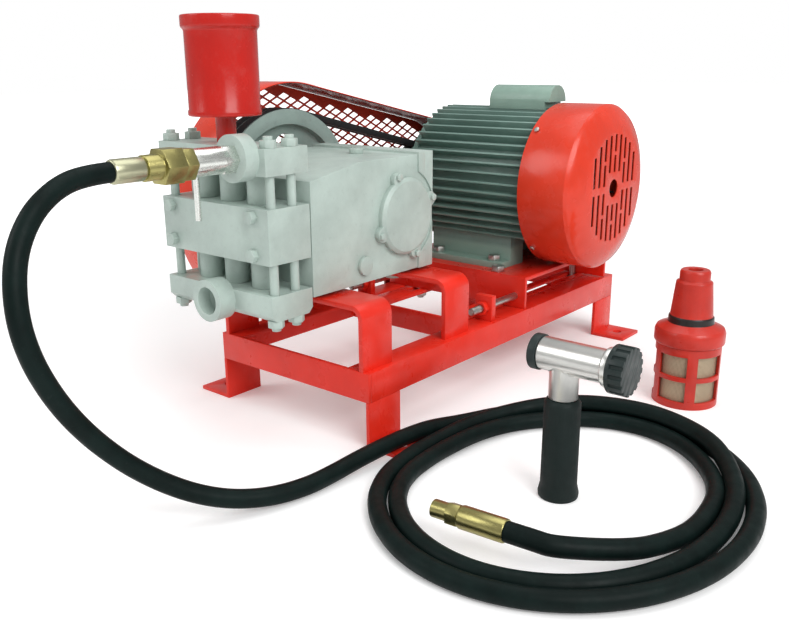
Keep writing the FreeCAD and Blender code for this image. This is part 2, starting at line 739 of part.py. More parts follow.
# Motor on its sliding base
def make_motor():
    low = motor_base_front
    high = motor_base_rear
    width = half_w - 3
    base = box(-width, width, low, high, rail_top + run_gap, motor_base_top)
    hollow = box(-width - 1, width + 1, low + motor_base_wall, high - motor_base_wall,
                 rail_top - 1, motor_base_top - motor_base_wall)
    base = base.cut(hollow)
    for side in (-1, 1):
        for y in (motor_base_front + base_bolt_inset, motor_base_rear - base_bolt_inset):
            base = base.cut(rod(5.5, (side * slide_bar_x, y, rail_top), Z_AXIS, 60))
        for x in (foot_low_x + 20, foot_high_x - 20):
            base = base.cut(rod(5.5, (x, motor_y + side * 86, rail_top), Z_AXIS, 60))
    save("motor_base", base)

    rear_x = motor_face_x - fan_cover_length
    barrel = ring(barrel_r, stator_outer_r + fit_gap, (barrel_low_x, motor_y, motor_z), X_AXIS,
                  rear_x - barrel_low_x)
    fins = []
    for k in range(fin_count):
        a = 2 * pi * (k + 0.5) / fin_count
        if -2.35 < ((a + pi) % (2 * pi)) - pi < -0.79:
            continue
        fin = box(barrel_low_x, rear_x - 1, -fin_wall / 2, fin_wall / 2, barrel_r - 2, fin_r)
        fin.rotate(V(0, 0, 0), X_AXIS, degrees(a) - 90)
        fin.translate(V(0, motor_y, motor_z))
        fins.append(fin)
    feet = []
    for side in (-1, 1):
        y = sorted((motor_y + side * foot_half_width, motor_y + side * 52))
        pad = box(foot_low_x, foot_high_x, *y, motor_base_top, motor_base_top + 9)
        rib_y = sorted((motor_y + side * 74, motor_y + side * 40))
        rib = box(foot_low_x, foot_high_x, *rib_y, motor_base_top, motor_z - 58)
        inner = rod(barrel_r - 3, (foot_low_x - 1, motor_y, motor_z), X_AXIS,
                    foot_high_x - foot_low_x + 2)
        feet.append(pad.fuse(rib).cut(inner))
    frame = fuse_all([barrel] + fins + feet)
    for side in (-1, 1):
        for x in (foot_low_x + 20, foot_high_x - 20):
            frame = frame.cut(rod(5.5, (x, motor_y + side * 86, motor_base_top - 1), Z_AXIS, 20))
    save("motor_frame", frame)

    shield_r = barrel_r + 4
    drive_end = turned([(22.1, 0), (40, 0), (40, 4), (shield_r - 8, 10), (shield_r, 14),
                        (shield_r, 22), (shield_r - 8, 22), (shield_r - 12, 16), (36, 12),
                        (36, 20), (22.1, 20)], (barrel_low_x - 22, motor_y, motor_z), X_AXIS)
    fan_end = turned([(22.1, 0), (36, 0), (36, 6), (barrel_r - 12, 6), (barrel_r - 8, 0),
                      (barrel_r, 0), (barrel_r, 12), (barrel_r - 6, 16), (40, 20), (22.1, 20)],
                     (rear_x, motor_y, motor_z), X_AXIS)
    lugs = []
    for a in cover_screw_angles:
        out = V(0, cos(radians(a)), sin(radians(a)))
        start = V(rear_x + 8, motor_y, motor_z) + out * (barrel_r - 4)
        reach = fan_cover_r - fan_cover_wall - 0.5 - barrel_r + 4
        lugs.append(Part.makeCylinder(4, reach, start, out))
    fan_end = fuse_all([fan_end] + lugs)
    save("motor_end_shields", [drive_end, fan_end])
    save("stator", ring(stator_outer_r, rotor_r + 0.6, (-60, motor_y, motor_z), X_AXIS, 120))
    shaft_low = drive_mid_x - pulley_width / 2 - 3
    rotor = [rod(rotor_r, (-58, motor_y, motor_z), X_AXIS, 116),
             rod(shaft_r, (shaft_low, motor_y, motor_z), X_AXIS, rear_x + 54 - shaft_low)]
    save("rotor_shaft", fuse_all(rotor))
    bearings = [ring(22, shaft_r + fit_gap, (x, motor_y, motor_z), X_AXIS, 12)
                for x in (barrel_low_x - 16, rear_x + 3)]
    save("motor_bearings", bearings)

    hub_x = rear_x + 26
    fan = [ring(24, shaft_r + 0.02, (hub_x, motor_y, motor_z), X_AXIS, 24),
           ring(84, 22, (hub_x, motor_y, motor_z), X_AXIS, 3)]
    for k in range(7):
        blade = box(hub_x + 2, hub_x + 22, -1.5, 1.5, 23, 84)
        blade.rotate(V(0, 0, 0), X_AXIS, 360 * k / 7)
        blade.translate(V(0, motor_y, motor_z))
        fan.append(blade)
    save("cooling_fan", fuse_all(fan))
    make_fan_cover(rear_x)
    make_motor_details(rear_x)


def make_fan_cover(rear_x):
    wall = fan_cover_wall
    length = fan_cover_length
    dome = fan_cover_dome
    face_r = fan_cover_r - 30
    outline = [(fan_cover_r, 0), (fan_cover_r, length - dome), (fan_cover_r - 5, length - dome + 6),
               (face_r, length), (0, length), (0, length - wall), (face_r, length - wall),
               (fan_cover_r - 5 - wall, length - dome + 6 - wall / 2),
               (fan_cover_r - wall, length - dome), (fan_cover_r - wall, 0)]
    cover = turned(outline, (rear_x, motor_y, motor_z), X_AXIS)
    tools = [rod(slot_hub_r, (motor_face_x - 10, motor_y, motor_z), X_AXIS, 20)]
    for k in range(-slot_columns, slot_columns + 1):
        y = slot_pitch * k
        span = sqrt(slot_reach ** 2 - y ** 2)
        middle = slot_hub_r + 10 if abs(k) < 2 else 5.0
        for z0, z1 in ((-span, -middle), (middle, span)):
            if k % 2 == 0 and z1 - z0 > 45:
                centre = (z0 + z1) / 2
                cuts = [(z0, centre - 2.5), (centre + 2.5, z1)]
            else:
                cuts = [(z0, z1)]
            for a, b in cuts:
                tools.append(box(motor_face_x - 10, motor_face_x + 10,
                                 motor_y + y - slot_width / 2, motor_y + y + slot_width / 2,
                                 motor_z + a, motor_z + b))
    cover = cut_all(cover, tools)
    save("fan_cover", cover)


def make_motor_details(rear_x):
    low_z = motor_z + fin_r - 6
    width = box_half_width
    box_low, box_high = box_low_x, box_high_x
    lid_z = low_z + 14
    case = box(box_low, box_high - 8, motor_y - width, motor_y + width, low_z, lid_z + 4)
    lid = rod(width, (box_low, motor_y, lid_z), X_AXIS, box_high - box_low)
    lid = lid.common(box(box_low, box_high, motor_y - width, motor_y + width,
                         lid_z, lid_z + width))
    case = fuse_all([case, lid])
    case = case.cut(box(box_low + 4, box_high - 12, motor_y - width + 4, motor_y + width - 4,
                        low_z + 4, lid_z + 6))
    case = case.cut(rod(fin_r + fit_gap, (box_low - 1, motor_y, motor_z), X_AXIS, 140))
    save("terminal_box", case)

    bolts = []
    for side in (-1, 1):
        for x in (foot_low_x + 20, foot_high_x - 20):
            bolts.append(bolt(16, 8, 5, 18, (x, motor_y + side * 86, motor_base_top + 9), Z_AXIS))
    for a in cover_screw_angles:
        spot = (rear_x + 8, motor_y + fan_cover_r * cos(radians(a)),
                motor_z + fan_cover_r * sin(radians(a)))
        out = V(0, cos(radians(a)), sin(radians(a)))
        bolts.append(Part.makeCylinder(3.5, 3, V(*spot), out))
    for side in (-1, 1):
        for y in (motor_base_front + base_bolt_inset, motor_base_rear - base_bolt_inset):
            x = side * slide_bar_x
            bolts.append(bolt(17, 8, 5, 62, (x, y, motor_base_top), Z_AXIS))
            nut = hexagon(17, (x, y, rail_top - rail_wall - run_gap), -Z_AXIS, 8)
            bolts.append(nut.cut(rod(5, (x, y, rail_low), Z_AXIS, rail_size)))
    save("motor_bolts", bolts)


# Belt tensioning screws
def make_tension_screws():
    lugs = []
    screws = []
    lug_y = -46.0
    for side in (-1, 1):
        x = side * (half_w - 19)
        z = rail_top + 17
        lug = box(x - 13, x + 13, lug_y, lug_y + 10, rail_top, rail_top + 34)
        lugs.append(lug.cut(rod(5 + run_gap, (x, lug_y - 1, z), Y_AXIS, 12)))
        nut = hexagon(17, (x, lug_y, z), -Y_AXIS, 8)
        lugs.append(nut.cut(rod(5 + run_gap, (x, lug_y - 9, z), Y_AXIS, 10)))
        length = motor_base_front - lug_y + 28
        screws.append(rod(5, (x, motor_base_front - length, z), Y_AXIS, length))
    save("tension_lugs", lugs)
    save("tension_screws", screws)


# Outlet valve and brass fittings along -Y
def make_outlet():
    face = block_front - boss_depth
    x, z = boss_x, boss_z
    end = face - valve_length
    body = fuse_all([hexagon(27, (x, face, z), -Y_AXIS, 15),
                     rod(valve_r, (x, face - 12, z), -Y_AXIS, valve_length - 12)])
    ball_y = face - 27
    ball_r = 9.5
    body = body.cut(rod(7, (x, face + 1, z), -Y_AXIS, valve_length + 2))
    body = body.cut(Part.makeSphere(ball_r + run_gap, V(x, ball_y, z)))
    body = body.cut(rod(3 + fit_gap, (x, ball_y, z), -X_AXIS, 20))
    save("outlet_valve_body", body)

    ball = Part.makeSphere(ball_r, V(x, ball_y, z)).cut(rod(6, (x, ball_y - 12, z), Z_AXIS, 1))
    ball = ball.cut(rod(5, (x, ball_y, z - 12), Z_AXIS, 24))
    stem = rod(3, (x - ball_r + 2, ball_y, z), -X_AXIS, valve_r + 5)
    lever_x = x - valve_r - 9
    lever = fuse_all([rod(6, (lever_x - 3, ball_y, z), X_AXIS, 6),
                      rod(lever_r, (lever_x, ball_y, z), -Z_AXIS, 62)])
    save("outlet_valve_lever", fuse_all([ball, stem, lever]))

    first = hexagon(30, (x, end, z), -Y_AXIS, 13).cut(rod(7, (x, end + 1, z), -Y_AXIS, 60))
    second = hexagon(33, (x, end - 14, z), -Y_AXIS, 22)
    neck = rod(12.5, (x, end - 36, z), -Y_AXIS, 17)
    second = fuse_all([second, neck]).cut(rod(7, (x, end + 1, z), -Y_AXIS, 80))
    joint = ring(10, 7, (x, end - 13, z), -Y_AXIS, 1)
    save("outlet_fittings", [first, fuse_all([joint, second])])
    ferrule_start = end - 53
    ferrule = turned([(7, 0), (10.5, 0), (ferrule_r, 3), (ferrule_r, ferrule_length - 2),
                      (ferrule_r - 1, ferrule_length), (7, ferrule_length)],
                     (x, ferrule_start, z), -Y_AXIS)
    save("hose_ferrule", ferrule)
    return ferrule_start - ferrule_length


# Discharge hose: free run, floor coil and end fitting
hose_route = [
    (28.5, -586, 318.2), (35.6, -614, 299.7), (45.3, -636, 269), (54.7, -645, 227),
    (59.9, -641, 189), (62.7, -627.5, 152.5), (65.2, -610.5, 121.5), (69.4, -591, 94),
    (77.8, -568, 67.3), (91.4, -541.5, 43.8), (107, -516, 27.6), (123, -488.5, 17),
    (137.4, -456, 11.4), (146.4, -419, 9.9), (148.8, -385, 10.4), (150, -346, 12.4),
]
hose_entry = (155, -303, 15.0)


def hose_path(points):
    """Straight runs joined by tangent arcs, with their radii."""
    corners = [V(*p) for p in points]
    edges, radii = [], []
    last = corners[0]
    for before, here, after in zip(corners, corners[1:], corners[2:]):
        back = (before - here)
        ahead = (after - here)
        turn = pi - back.getAngle(ahead)
        shorter = min(back.Length, ahead.Length)
        set_back = 0.45 * shorter
        radius = set_back / tan(turn / 2)
        back.normalize()
        ahead.normalize()
        start = here + back * set_back
        end = here + ahead * set_back
        bisector = (back + ahead).normalize()
        centre_gap = radius / cos(turn / 2)
        middle = here + bisector * (centre_gap - radius)
        edges.append(Part.LineSegment(last, start).toShape())
        edges.append(Part.Arc(start, middle, end).toShape())
        radii.append(round(radius))
        last = end
    edges.append(Part.LineSegment(last, corners[-1]).toShape())
    return Part.Wire(edges), radii


coil_mid_x = 345.0
coil_mid_y = -252.0
coil_reach_x = 178.0   # outermost turn's centreline, half size along X
coil_reach_y = 204.0
coil_hole_r = 125.0
coil_hole_x = 330.0    # the loops lie off centre, so the hole does too
coil_hole_y = -240.0
coil_low = 0.1
end_ferrule_r = 11.0
end_ferrule_length = 46.0
end_x = 367.0
end_y = -393.0


def make_hose(start_y):
    route = [(boss_x, start_y, boss_z), (boss_x, start_y - 28, boss_z - 0.4)]
    route += hose_route + [hose_entry]
    path, radii = hose_path(route)
    section = Part.Wire(Part.makeCircle(hose_r, V(*route[0]), V(*route[1]) - V(*route[0])))
    tube = path.makePipeShell([section], True, False)
    print("hose radii", radii)
    print("hose run length", round(path.Length), "volume ratio",
          round(tube.Volume / (pi * hose_r ** 2 * path.Length), 4), "valid", tube.isValid())
    save("hose_run", tube)


def make_coil():
    def oval(rx, ry, z):
        big = V(coil_mid_x, coil_mid_y, z)
        if ry >= rx:
            curve = Part.Ellipse(big + V(0, ry, 0), big + V(rx, 0, 0), big)
        else:
            curve = Part.Ellipse(big + V(rx, 0, 0), big + V(0, ry, 0), big)
        return Part.Wire(curve.toShape())

    def slab(rx, ry, z0, z1):
        return Part.Face(oval(rx, ry, z0)).extrude(V(0, 0, z1 - z0))

    r = hose_r
    low = coil_low
    middle = low + 2 * r
    body = slab(coil_reach_x + r, coil_reach_y + r, low, middle)
    upper = slab(coil_reach_x - r, coil_reach_y - r, middle, middle + 2 * r)
    upper = upper.common(box(0, 2 * coil_mid_x, coil_mid_y - 70, 0, middle, middle + 2 * r))
    body = body.fuse(upper)
    body = body.cut(rod(coil_hole_r, (coil_hole_x, coil_hole_y, 0), Z_AXIS, 5 * r))
    entry = V(*hose_entry)
    heading = entry - V(*hose_route[-1])
    heading.normalize()
    strand = Part.makeCylinder(r, 46, entry, heading)
    body = body.cut(Part.makeCylinder(r + 0.1, 40, entry - heading * 40, heading))
    foot = box(half_w - 1, half_w + foot_length + 1, -half_l - 1, -half_l + leg_width + 1,
               -1, leg_wall + 0.4)
    save("hose_coil", body.fuse(strand).cut(foot).removeSplitter())


def make_end_fitting():
    start = V(end_x, end_y, coil_low + 2 * hose_r + end_ferrule_r)
    along = V(-1, -0.092, 0).normalize()
    length = end_ferrule_length
    r = end_ferrule_r
    pieces = [turned([(6, 0), (r - 0.5, 0), (r, 2), (r, length - 2), (r - 1, length), (6, length)],
                     tuple(start), along)]
    hex_start = start + along * length
    hexa = hexagon(19, tuple(hex_start), along, 12)
    nose = Part.makeCylinder(8.5, 17, hex_start + along * 11, along)
    bore = Part.makeCylinder(5, 40, hex_start - along, along)
    pieces.append(fuse_all([hexa, nose]).cut(bore))
    save("hose_end_fitting", pieces)


# Spray gun
def make_gun():
    x, y, z = gun_x, gun_y, gun_barrel_z
    grip = turned([(0, 0), (grip_r + 1.5, 0), (grip_r + 2, 5), (grip_r, 14),
                   (grip_r - 0.5, grip_height - 4), (grip_r - 3, grip_height), (0, grip_height)],
                  (x, y, 0), Z_AXIS)
    grip = grip.cut(rod(9, (x, y, 6), Z_AXIS, grip_height))
    save("gun_grip", grip)
    stem = rod(gun_stem_r, (x, y, grip_height), Z_AXIS, z - grip_height)
    inner = rod(8.8, (x, y, grip_height - 60), Z_AXIS, 70)
    barrel = rod(gun_barrel_r, (x + gun_low_x, y, z), X_AXIS, gun_high_x - gun_low_x)
    collar = rod(gun_barrel_r + 3, (x + gun_high_x - 7, y, z), X_AXIS, 7)
    body = fuse_all([stem, inner, barrel, collar])
    body = body.cut(rod(gun_bore_r, (x + gun_low_x - 1, y, z), X_AXIS,
                        gun_high_x - gun_low_x + 2))
    save("gun_body", body)
    cap = ring(gun_barrel_r + 1.5, 5, (x + gun_low_x - 9, y, z), X_AXIS, 9)
    save("gun_nozzle_cap", cap)
    start = x + gun_high_x + run_gap
    knob = rod(knob_r, (start, y, z), X_AXIS, knob_length)
    flutes = []
    for k in range(16):
        a = 2 * pi * k / 16
        spot = (start + 4, y + knob_r * cos(a), z + knob_r * sin(a))
        flutes.append(rod(2.2, spot, X_AXIS, knob_length))
    knob = cut_all(knob, flutes)
    spindle = rod(gun_bore_r - fit_gap, (start - 40, y, z), X_AXIS, 42)
    save("gun_knob", fuse_all([knob, spindle]))


# Suction strainer
def make_strainer():
    x, y = strainer_x, strainer_y
    r = strainer_r
    shoulder = 78.0
    head = turned([(13, shoulder), (r, shoulder), (r + 3, shoulder + 3), (r + 3, 94), (r + 1, 99),
                   (28, 105), (27.5, 113), (26, 114), (22, 157), (18.5, 159), (18.5, 169),
                   (17, strainer_height), (9, strainer_height), (9, 108), (13, 104)],
                  (x, y, 0), Z_AXIS)
    save("strainer_head", head)
    cage = ring(r, r - 4, (x, y, 0), Z_AXIS, shoulder)
    floor = rod(r, (x, y, 0), Z_AXIS, 4)
    cage = cage.fuse(floor)
    windows = []
    for z0 in (9.0, 41.5):
        for k in range(window_count):
            hole = box(0, r + 5, -window_width / 2, window_width / 2, z0, z0 + window_height)
            hole.rotate(V(0, 0, 0), Z_AXIS, 360 * k / window_count - 24)
            hole.translate(V(x, y, 0))
            windows.append(hole)
    save("strainer_cage", cut_all(cage, windows))
    save("strainer_mesh", ring(r - 4.5, r - 5.5, (x, y, 4.2), Z_AXIS, shoulder - 4.6))


make_frame()
make_crankcase()
make_filler_cap()
make_crank_train()
make_fluid_end()
make_drive()
make_motor()
make_tension_screws()
hose_start = make_outlet()
make_hose(hose_start)
make_coil()
make_end_fitting()
make_gun()
make_strainer()

bad = [n for n, s in nodes.items() if not s.isValid() or s.Volume <= 0]
print("nodes", len(nodes), "bad", bad, "hose starts at", round(hose_start, 1))
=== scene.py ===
import bpy
import json
from math import cos, pi, radians, sin
from mathutils import Matrix, Vector


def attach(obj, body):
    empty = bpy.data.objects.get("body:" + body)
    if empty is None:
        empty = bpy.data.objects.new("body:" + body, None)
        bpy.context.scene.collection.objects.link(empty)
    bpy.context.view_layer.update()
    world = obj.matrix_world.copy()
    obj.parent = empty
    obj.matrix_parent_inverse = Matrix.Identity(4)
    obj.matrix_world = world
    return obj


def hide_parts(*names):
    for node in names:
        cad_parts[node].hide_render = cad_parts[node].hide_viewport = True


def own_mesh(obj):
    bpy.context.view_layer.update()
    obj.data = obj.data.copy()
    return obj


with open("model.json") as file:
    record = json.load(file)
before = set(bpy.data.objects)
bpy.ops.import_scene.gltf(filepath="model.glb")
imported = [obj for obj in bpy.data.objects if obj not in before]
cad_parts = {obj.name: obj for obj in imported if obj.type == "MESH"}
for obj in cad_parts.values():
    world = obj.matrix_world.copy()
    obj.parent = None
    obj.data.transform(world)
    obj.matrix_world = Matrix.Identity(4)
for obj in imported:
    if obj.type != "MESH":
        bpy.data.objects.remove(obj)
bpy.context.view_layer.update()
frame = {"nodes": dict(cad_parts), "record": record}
BODY_OF = {node: body for body, members in frame["record"]["behaviour"]["bodies"].items()
           for node in members}

bl_info = {
    "name": "Portable fire pump",
    "version": (1, 0, 0),
    "blender": (4, 5, 0),
    "location": "View3D > Sidebar > Fire pump",
    "description": "Finishes a belt-driven plunger pump set, its hose, spray gun and strainer",
    "category": "Object",
}

# Fixed measures, in metres unless a comment says otherwise

MERGE_GAP = 0.00001
FLAT_ANGLE = 0.6  # degrees, below which neighbouring triangles become one face
BEVEL_ANGLE = 35.0  # degrees, above which an edge is rounded
SMOOTH_ANGLE = 32.0  # degrees, below which two faces shade as one curve

# Widths of the rounded edges
SPRING_EDGE = 0.0003  # valve discs and springs
SCREW_EDGE = 0.0004  # tension screws and motor bolts
SHAFT_EDGE = 0.0005  # rotor, stator, bearings, packing and fan
TURNED_EDGE = 0.0006  # turned steel, pump bolts, hose ends, belts and guard
VALVE_EDGE = 0.0007  # outlet valve and its fittings
PULLEY_EDGE = 0.0008  # pulleys and motor castings
MOULDED_EDGE = 0.0010  # fan cover, knobs and strainer
GRIP_EDGE = 0.0012
CHAMBER_EDGE = 0.0015  # air chamber and gun body
BOX_EDGE = 0.0020
# The same, as shares of the casting radius
CASE_EDGE_SHARE = 1.6
COVER_EDGE_SHARE = 0.6
CAGE_EDGE_SHARE = 0.4
ROUND_SEGMENTS = 3  # steps across a wide rounding, where others have two

# The next two place the painted shade inside the belt guard
GUARD_MIDDLE_Z = 0.245  # between the heights of the two pulley axes
GUARD_SIDE_X = -0.125  # all of the guard has an X below this
MOTOR_FOOT_HEIGHTS = (0.120, 0.160)
STRAINER_COLLAR_HEIGHTS = (0.1055, 0.1138)
STRAINER_MIDDLE = (0.341, 0.071)
GAUZE_RADIUS = 0.035
GAUZE_PITCH = 0.0016

FILM_WIDTH = 36.0  # millimetres
VIEW_DEPTH = 50.0
FLOOR_SIZE = 24
FLOOR_MIDDLE = (0, 4, 0)
# White that the floor adds for the camera, close to the object and far from it
FLOOR_GLOW = (0.16, 1.0)
FLOOR_GLOW_REACH = (0.7, 2.6)  # distances from the origin for the two
LIGHT_AIM = (0.1, -0.1, 0.15)
# Name, place, size and power in watts
LIGHTS = (
    ("key", (2.7, -1.1, 2.2), 2.0, 78),
    ("fill", (-1.6, -2.3, 1.9), 1.6, 26),
    ("top", (0.1, 0.4, 3.0), 2.6, 34),
)
WORLD_LIGHT = 0.42  # what lights the object
WORLD_SHOWN = 1.0  # what the camera sees behind it


# Settings

def colour_setting(name, what, value):
    return bpy.props.FloatVectorProperty(name=name, description=what, default=value, size=3,
                                         min=0.0, max=1.0, subtype="COLOR")


def size_setting(name, what, value):
    return bpy.props.FloatProperty(name=name, description=what, default=value, min=0.0,
                                   unit="LENGTH")


class FIREPUMP_PG_paint(bpy.types.PropertyGroup):
    frame_red: colour_setting("Frame red", "Gloss paint of the frame", (0.76, 0.026, 0.012))
    cover_red: colour_setting("Cover red", "Paint of the fan cover and guard",
                              (0.72, 0.045, 0.018))
    chamber_red: colour_setting("Chamber red", "Darker paint of the air chamber",
                                (0.50, 0.014, 0.009))
    pump_grey: colour_setting("Pump grey", "Paint on the pump castings", (0.43, 0.52, 0.475))
    motor_green: colour_setting("Motor green", "Paint on the motor castings",
                                (0.160, 0.260, 0.225))
    box_grey: colour_setting("Box grey", "Paint of the capacitor box", (0.24, 0.36, 0.300))
    brass: colour_setting("Brass", "Hose fittings", (0.42, 0.38, 0.15))
    hose_black: colour_setting("Hose black", "Rubber cover of the hose", (0.004, 0.010, 0.009))
    strainer_red: colour_setting("Strainer red", "Moulded plastic", (0.54, 0.028, 0.016))


class FIREPUMP_PG_sizes(bpy.types.PropertyGroup):
    hose_width: size_setting("Hose diameter", "Outer diameter of the hose", 0.019)
    hose_length: size_setting("Hose length", "Length from ferrule to end fitting", 3.66)
    edge: size_setting("Edge radius", "Rounding of cut plate edges", 0.0008)
    cast_edge: size_setting("Casting radius", "Rounding of cast edges", 0.0022)


class FIREPUMP_PG_stage(bpy.types.PropertyGroup):
    lens: bpy.props.FloatProperty(name="Lens", description="Focal length in millimetres",
                                  default=38.81, min=10.0)
    turn: bpy.props.FloatProperty(name="Turn", description="Camera's turn about Z",
                                  default=radians(39.9), subtype="ANGLE")
    tilt: bpy.props.FloatProperty(name="Tilt", description="Camera's tilt below the horizon",
                                  default=radians(16.5), subtype="ANGLE")
    roll: bpy.props.FloatProperty(name="Roll", description="Camera's roll",
                                  default=radians(-0.4), subtype="ANGLE")
    place: bpy.props.FloatVectorProperty(name="Place", description="Where the camera stands",
                                         default=(0.7118, -0.9545, 0.4187), unit="LENGTH")
    floor: colour_setting("Floor", "Colour of the floor", (0.96, 0.96, 0.96))


def paint():
    return bpy.context.scene.fire_pump_paint


def sizes():
    return bpy.context.scene.fire_pump_sizes


# Mesh helpers

def deselect():
    if bpy.context.object and bpy.context.object.mode != "OBJECT":
        bpy.ops.object.mode_set(mode="OBJECT")
    bpy.ops.object.select_all(action="DESELECT")


def pick(piece):
    deselect()
    piece.select_set(True)
    bpy.context.view_layer.objects.active = piece


def settle(piece):
    """Puts the object's place, turn and size into its mesh."""
    pick(piece)
    bpy.ops.object.transform_apply(location=True, rotation=True, scale=True)


def apply_modifiers(piece):
    pick(piece)
    for modifier in list(piece.modifiers):
        bpy.ops.object.modifier_apply(modifier=modifier.name)


def bevel(piece, width, segments):
    modifier = piece.modifiers.new("edges", "BEVEL")
    modifier.width = width
    modifier.segments = segments
    modifier.limit_method = "ANGLE"
    modifier.angle_limit = radians(BEVEL_ANGLE)
    apply_modifiers(piece)


def smooth(piece):
    pick(piece)
    bpy.ops.object.shade_smooth_by_angle(angle=radians(SMOOTH_ANGLE))


def dress(piece, material):
    piece.data.materials.clear()
    piece.data.materials.append(material)


def place(piece, body, slot, material):
    dress(piece, material)
    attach(piece, body)


def finish_node(node, material, edge, segments=2):
    """A copy of a part's mesh, merged, with rounded edges and smooth curves."""
    mesh = frame["nodes"][node].data.copy()
    piece = bpy.data.objects.new(node + "_finish", mesh)
    bpy.context.scene.collection.objects.link(piece)
    pick(piece)
    bpy.ops.object.mode_set(mode="EDIT")
    bpy.ops.mesh.select_all(action="SELECT")
    bpy.ops.mesh.remove_doubles(threshold=MERGE_GAP)
    bpy.ops.mesh.dissolve_limited(angle_limit=radians(FLAT_ANGLE))
    bpy.ops.mesh.customdata_custom_splitnormals_clear()
    bpy.ops.object.mode_set(mode="OBJECT")
    if edge:
        bevel(piece, edge, segments)
    smooth(piece)
    slot = next(s["material_slot"] for s in frame["record"]["subparts"] if s["node"] == node)
    place(piece, BODY_OF[node], slot, material)
    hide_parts(node)
    return piece


# Material helpers

class Finish:
    """A material with one principled shader and nodes that read Object coordinates."""

    def __init__(self, name, metallic=0.0, roughness=0.5, specular=0.5, coat=0.0):
        self.material = bpy.data.materials.new(name)
        self.material.use_nodes = True
        self.tree = self.material.node_tree
        self.tree.nodes.clear()
        output = self.tree.nodes.new("ShaderNodeOutputMaterial")
        self.shader = self.tree.nodes.new("ShaderNodeBsdfPrincipled")
        self.link(self.shader.outputs["BSDF"], output.inputs["Surface"])
        self.shader.inputs["Metallic"].default_value = metallic
        self.shader.inputs["Roughness"].default_value = roughness
        self.shader.inputs["Specular IOR Level"].default_value = specular
        self.shader.inputs["Coat Weight"].default_value = coat
        self.shader.inputs["Coat Roughness"].default_value = 0.12
        self.coords = self.tree.nodes.new("ShaderNodeTexCoord").outputs["Object"]
        self.bumps = None

    def link(self, start, end):
        self.tree.links.new(start, end)

    def mapped(self, scale=(1, 1, 1), shift=(0, 0, 0)):
        node = self.tree.nodes.new("ShaderNodeMapping")
        node.inputs["Scale"].default_value = scale
        node.inputs["Location"].default_value = shift
        self.link(self.coords, node.inputs["Vector"])
        return node.outputs["Vector"]

    def noise(self, scale, detail, rough=0.55, coords=None):
        node = self.tree.nodes.new("ShaderNodeTexNoise")
        node.inputs["Scale"].default_value = scale
        node.inputs["Detail"].default_value = detail
        node.inputs["Roughness"].default_value = rough
        self.link(coords or self.coords, node.inputs["Vector"])
        return node.outputs["Fac"]

    def ranged(self, value, low, high, from_low=0.3, from_high=0.7):
        """Takes a value from one range to another; 0.3 to 0.7 is what noise spans."""
        node = self.tree.nodes.new("ShaderNodeMapRange")
        node.inputs["From Min"].default_value = from_low
        node.inputs["From Max"].default_value = from_high
        node.inputs["To Min"].default_value = low
        node.inputs["To Max"].default_value = high
        self.link(value, node.inputs["Value"])
        return node.outputs["Result"]

    def maths(self, kind, first, second=0.0):
        node = self.tree.nodes.new("ShaderNodeMath")
        node.operation = kind
        for socket, value in zip(node.inputs, (first, second)):
            if isinstance(value, (int, float)):
                socket.default_value = value
            else:
                self.link(value, socket)
        return node.outputs[0]

    def mixed(self, factor, first, second):
        node = self.tree.nodes.new("ShaderNodeMix")
        node.data_type = "RGBA"
        self.link(factor, node.inputs["Factor"])
        for socket, value in ((node.inputs["A"], first), (node.inputs["B"], second)):
            if isinstance(value, (tuple, list)):
                socket.default_value = (*value, 1.0)
            else:
                self.link(value, socket)
        return node.outputs["Result"]

    def colour(self, value):
        self.link(value, self.shader.inputs["Base Color"])

    def roughness(self, value):
        self.link(value, self.shader.inputs["Roughness"])

    def bump(self, height, strength, distance):
        node = self.tree.nodes.new("ShaderNodeBump")
        node.inputs["Strength"].default_value = strength
        node.inputs["Distance"].default_value = distance
        self.link(height, node.inputs["Height"])
        if self.bumps:
            self.link(self.bumps, node.inputs["Normal"])
        self.bumps = node.outputs["Normal"]
        self.link(self.bumps, self.shader.inputs["Normal"])

    def height(self, low, high, soft=0.0006):
        """1 where the Object height lies between two values, with a soft border."""
        parts = self.tree.nodes.new("ShaderNodeSeparateXYZ")
        self.link(self.coords, parts.inputs[0])
        up = self.ranged(parts.outputs["Z"], 0.0, 1.0, low - soft, low)
        return self.maths("MULTIPLY", up,
                          self.ranged(parts.outputs["Z"], 1.0, 0.0, high, high + soft))

    def guard_shade_faces(self):
        """1 on the faces of the belt guard that look in at the belts, which get a painted shade.
        """
        shape = self.tree.nodes.new("ShaderNodeNewGeometry")
        inward = self.tree.nodes.new("ShaderNodeVectorMath")
        inward.operation = "DOT_PRODUCT"
        self.link(self.mapped((0, 1, 1), shift=(0, 0, -GUARD_MIDDLE_Z)), inward.inputs[0])
        self.link(shape.outputs["Normal"], inward.inputs[1])
        parts = self.tree.nodes.new("ShaderNodeSeparateXYZ")
        self.link(self.coords, parts.inputs[0])
        at_guard = self.maths("LESS_THAN", parts.outputs["X"], GUARD_SIDE_X)
        return self.maths("MULTIPLY", at_guard,
                          self.maths("LESS_THAN", inward.outputs["Value"], -0.005))

    def edges(self, radius=0.0012):
        """0 on flat faces and 1 along edges; the gloss and moulded finishes put chipped wear
        there, the cast paint a painted highlight.
        """
        rounded = self.tree.nodes.new("ShaderNodeBevel")
        rounded.samples = 4
        rounded.inputs["Radius"].default_value = radius
        shape = self.tree.nodes.new("ShaderNodeNewGeometry")
        match = self.tree.nodes.new("ShaderNodeVectorMath")
        match.operation = "DOT_PRODUCT"
        self.link(rounded.outputs["Normal"], match.inputs[0])
        self.link(shape.outputs["Normal"], match.inputs[1])
        return self.ranged(match.outputs["Value"], 1.0, 0.0, 0.86, 0.99)


def shade(colour, factor):
    return tuple(min(1.0, c * factor) for c in colour)


